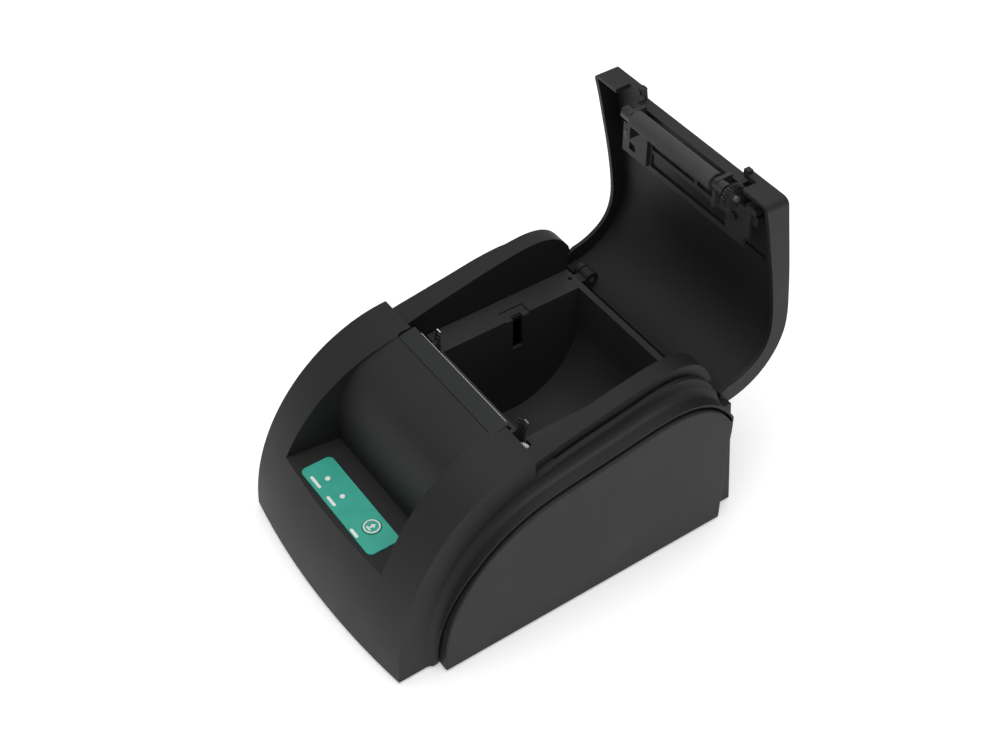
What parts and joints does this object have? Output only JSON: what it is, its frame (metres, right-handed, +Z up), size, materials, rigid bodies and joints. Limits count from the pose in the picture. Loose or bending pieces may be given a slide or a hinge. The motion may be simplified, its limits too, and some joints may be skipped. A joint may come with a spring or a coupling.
{
  "type": "receipt printer",
  "caption": "Desktop receipt printer for narrow paper rolls, with a bowed scooped front, arched side panels, and a rear-hinged lid standing open with the platen roller under it.",
  "frame": {"origin": "on the table under the middle of the footprint, with the lid standing open", "axes": "+Z up, the front with the control panel faces -Y, +X to the right seen from the front"},
  "size_m": [0.1454, 0.2268, 0.1852],
  "materials": {
    "case_plastic": "fine moulded texture, charcoal",
    "inner_plastic": "smooth moulding, black",
    "strip_plastic": "satin, dark grey",
    "panel_print": "printed film, teal with white marks",
    "key_print": "printed film, teal with a white ring",
    "lens": "clear moulded lens",
    "steel": "ground edge",
    "spring_steel": "drawn wire",
    "zinc_screw": "zinc plated",
    "aluminium": "extruded",
    "ceramic": "glazed",
    "white_gear": "acetal, natural",
    "black_gear": "acetal, black",
    "brass": "machined",
    "platen_rubber": "ground, dark grey",
    "foot_rubber": "moulded",
    "board_green": "solder mask",
    "chip_black": "moulded package",
    "socket_metal": "tin plated shell",
    "socket_black": "moulded",
    "ribbon": "polyimide film",
    "bush": "moulded bearing, black",
    "black_screw": "black oxide",
    "bracket_plastic": "moulded, slightly lighter",
    "rocker_key": "moulded"
  },
  "bodies": {
    "printer": {"upper_case": "case_plastic", "lower_case": "case_plastic", "paper_bin": "inner_plastic", "tear_bar_cover": "strip_plastic", "tear_bar": "steel", "mechanism_frame": "inner_plastic", "print_head": "ceramic", "heat_sink": "aluminium", "head_springs": "spring_steel", "head_ribbon": "ribbon", "platen_latches": "spring_steel", "stepper_motor": "steel", "gear_pins": "steel", "paper_sensor": "chip_black", "mechanism_screws": "zinc_screw", "panel_label": "panel_print", "lamp_lenses": "lens", "control_board": "board_green", "lamp_chips": "lens", "feed_switch": "chip_black", "panel_screws": "zinc_screw", "main_board": "board_green", "board_screws": "zinc_screw", "ribbon_connector": "socket_black", "board_parts": "chip_black", "usb_socket": "socket_metal", "power_socket": "socket_black", "drawer_socket": "socket_black", "switch_frame": "socket_black", "hinge_pins": "steel", "rubber_feet": "foot_rubber", "case_screws": "zinc_screw"},
    "lid": {"lid_shell": "case_plastic", "platen_bracket": "bracket_plastic", "bracket_screws": "black_screw", "bracket_hook": "bracket_plastic", "platen_bushes": "bush"},
    "platen": {"platen_shaft": "steel", "platen_roller": "platen_rubber", "platen_gear": "black_gear"},
    "idler": {"idler_gear": "white_gear"},
    "reduction": {"reduction_gear": "white_gear"},
    "pinion": {"motor_shaft": "steel", "motor_pinion": "brass"},
    "feed_key": {"feed_button": "key_print"},
    "power_key": {"power_rocker": "rocker_key"}
  },
  "joints": [
    {"name": "lid_hinge", "type": "hinge", "parent": "printer", "child": "lid", "pos_m": [0, 0.0753, 0.0785], "axis": [1, 0, 0], "range_deg": [0, 90]},
    {"name": "platen_spin", "type": "hinge", "parent": "lid", "child": "platen", "pos_m": [0, 0.0896, 0.177], "axis": [1, 0, 0], "continuous": true},
    {"name": "reduction_spin", "type": "hinge", "parent": "printer", "child": "reduction", "pos_m": [0.041, -0.0384, 0.07381], "axis": [1, 0, 0], "continuous": true},
    {"name": "idler_spin", "type": "hinge", "parent": "printer", "child": "idler", "pos_m": [0.04, -0.02689, 0.078], "axis": [1, 0, 0], "continuous": true},
    {"name": "pinion_spin", "type": "hinge", "parent": "printer", "child": "pinion", "pos_m": [0.044, -0.05008, 0.06401], "axis": [1, 0, 0], "continuous": true},
    {"name": "feed_press", "type": "slide", "parent": "printer", "child": "feed_key", "axis": [0, 0, -1], "range_m": [0, 0.0008], "stiffness_N_per_m": 400, "springref_m": -0.0008},
    {"name": "power_rock", "type": "hinge", "parent": "printer", "child": "power_key", "pos_m": [0.032, 0.081, 0.016], "axis": [1, 0, 0], "range_deg": [0, 9]}
  ],
  "couplings": [
    {"joint": "idler_spin", "follows": "reduction_spin", "ratio": -0.33333},
    {"joint": "pinion_spin", "follows": "reduction_spin", "ratio": -4}
  ]
}
